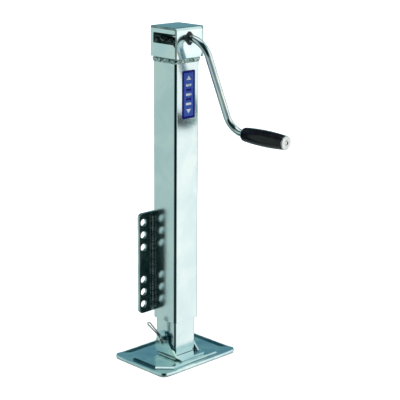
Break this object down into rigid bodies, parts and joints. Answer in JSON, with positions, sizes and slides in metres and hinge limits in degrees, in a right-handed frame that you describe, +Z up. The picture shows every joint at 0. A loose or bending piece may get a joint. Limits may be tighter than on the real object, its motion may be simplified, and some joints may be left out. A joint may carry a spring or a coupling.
{
  "type": "trailer tongue jack",
  "caption": "Side-wind trailer tongue jack with square drop tube, bent crank handle, bolt-on mounting plate and pinned steel foot.",
  "frame": {"origin": "centre of the mounting plate's back face, where the plate meets the trailer's tongue", "axes": "+Z up along the lead screw, +X from the plate to the crank side, -Y to the grease window's side"},
  "size_m": [0.2892, 0.2014, 0.666],
  "materials": {
    "zinc_steel": "bright zinc plate, clear passivated, lightly clouded",
    "weld_zinc": "plated weld bead, uneven",
    "raw_steel": "machined steel with a film of grease",
    "bearing_steel": "ground bright steel",
    "black_nylon": "moulded black nylon",
    "grip_plastic": "glossy black moulded plastic",
    "label_foil": "printed blue foil label",
    "nut_bronze": "cast bronze with grease"
  },
  "bodies": {
    "housing": {"outer_tube": "zinc_steel", "mounting_plate": "zinc_steel", "plate_weld_left": "weld_zinc", "plate_weld_right": "weld_zinc", "gear_housing": "zinc_steel", "front_wall": "zinc_steel", "rear_wall": "zinc_steel", "head_weld": "weld_zinc", "bearing_plate": "raw_steel", "lower_race": "bearing_steel", "crank_bushing": "black_nylon", "rear_bushing": "black_nylon", "label_plate": "label_foil"},
    "crank": {"crank_rod": "zinc_steel", "pinion": "raw_steel", "pinion_pin": "bearing_steel", "shaft_collar": "raw_steel", "rear_retainer": "raw_steel", "grip_washer": "zinc_steel", "grip_end_cap": "bearing_steel"},
    "grip_sleeve": {"grip": "grip_plastic"},
    "screw": {"lead_screw": "raw_steel", "screw_gear": "raw_steel", "gear_nut": "zinc_steel", "upper_race": "bearing_steel", "screw_collar": "raw_steel", "stop_collar": "raw_steel"},
    "bearing_cage": {"ball_cage": "bearing_steel"},
    "ram": {"inner_tube": "zinc_steel", "lift_nut": "nut_bronze", "foot_bracket": "zinc_steel", "foot_plate": "zinc_steel", "foot_weld_left": "weld_zinc", "foot_weld_right": "weld_zinc", "clevis_pin": "zinc_steel"},
    "clip": {"hairpin_clip": "zinc_steel"}
  },
  "joints": [
    {"name": "crank_turn", "type": "hinge", "parent": "housing", "child": "crank", "pos_m": [0.0381, 0, 0.4466], "axis": [1, 0, 0], "range_deg": [0, 34290]},
    {"name": "grip_spin", "type": "hinge", "parent": "crank", "child": "grip_sleeve", "pos_m": [0.1472, 0.07783, 0.26323], "axis": [1, 0, 0], "continuous": true},
    {"name": "screw_turn", "type": "hinge", "parent": "housing", "child": "screw", "pos_m": [0.0381, 0, 0.409], "axis": [0, 0, 1], "range_deg": [0, 22861]},
    {"name": "cage_turn", "type": "hinge", "parent": "housing", "child": "bearing_cage", "pos_m": [0.0381, 0, 0.4136], "axis": [0, 0, 1], "range_deg": [0, 11431]},
    {"name": "ram_slide", "type": "slide", "parent": "housing", "child": "ram", "axis": [0, 0, -1], "range_m": [0, 0.381]},
    {"name": "clip_pull", "type": "slide", "parent": "ram", "child": "clip", "axis": [-0.5878, 0, 0.809], "range_m": [0, 0.018]}
  ],
  "couplings": [
    {"joint": "screw_turn", "follows": "crank_turn", "ratio": 0.66667},
    {"joint": "cage_turn", "follows": "crank_turn", "ratio": 0.33333},
    {"joint": "ram_slide", "follows": "crank_turn", "m_per_rad": 0.00063662}
  ]
}
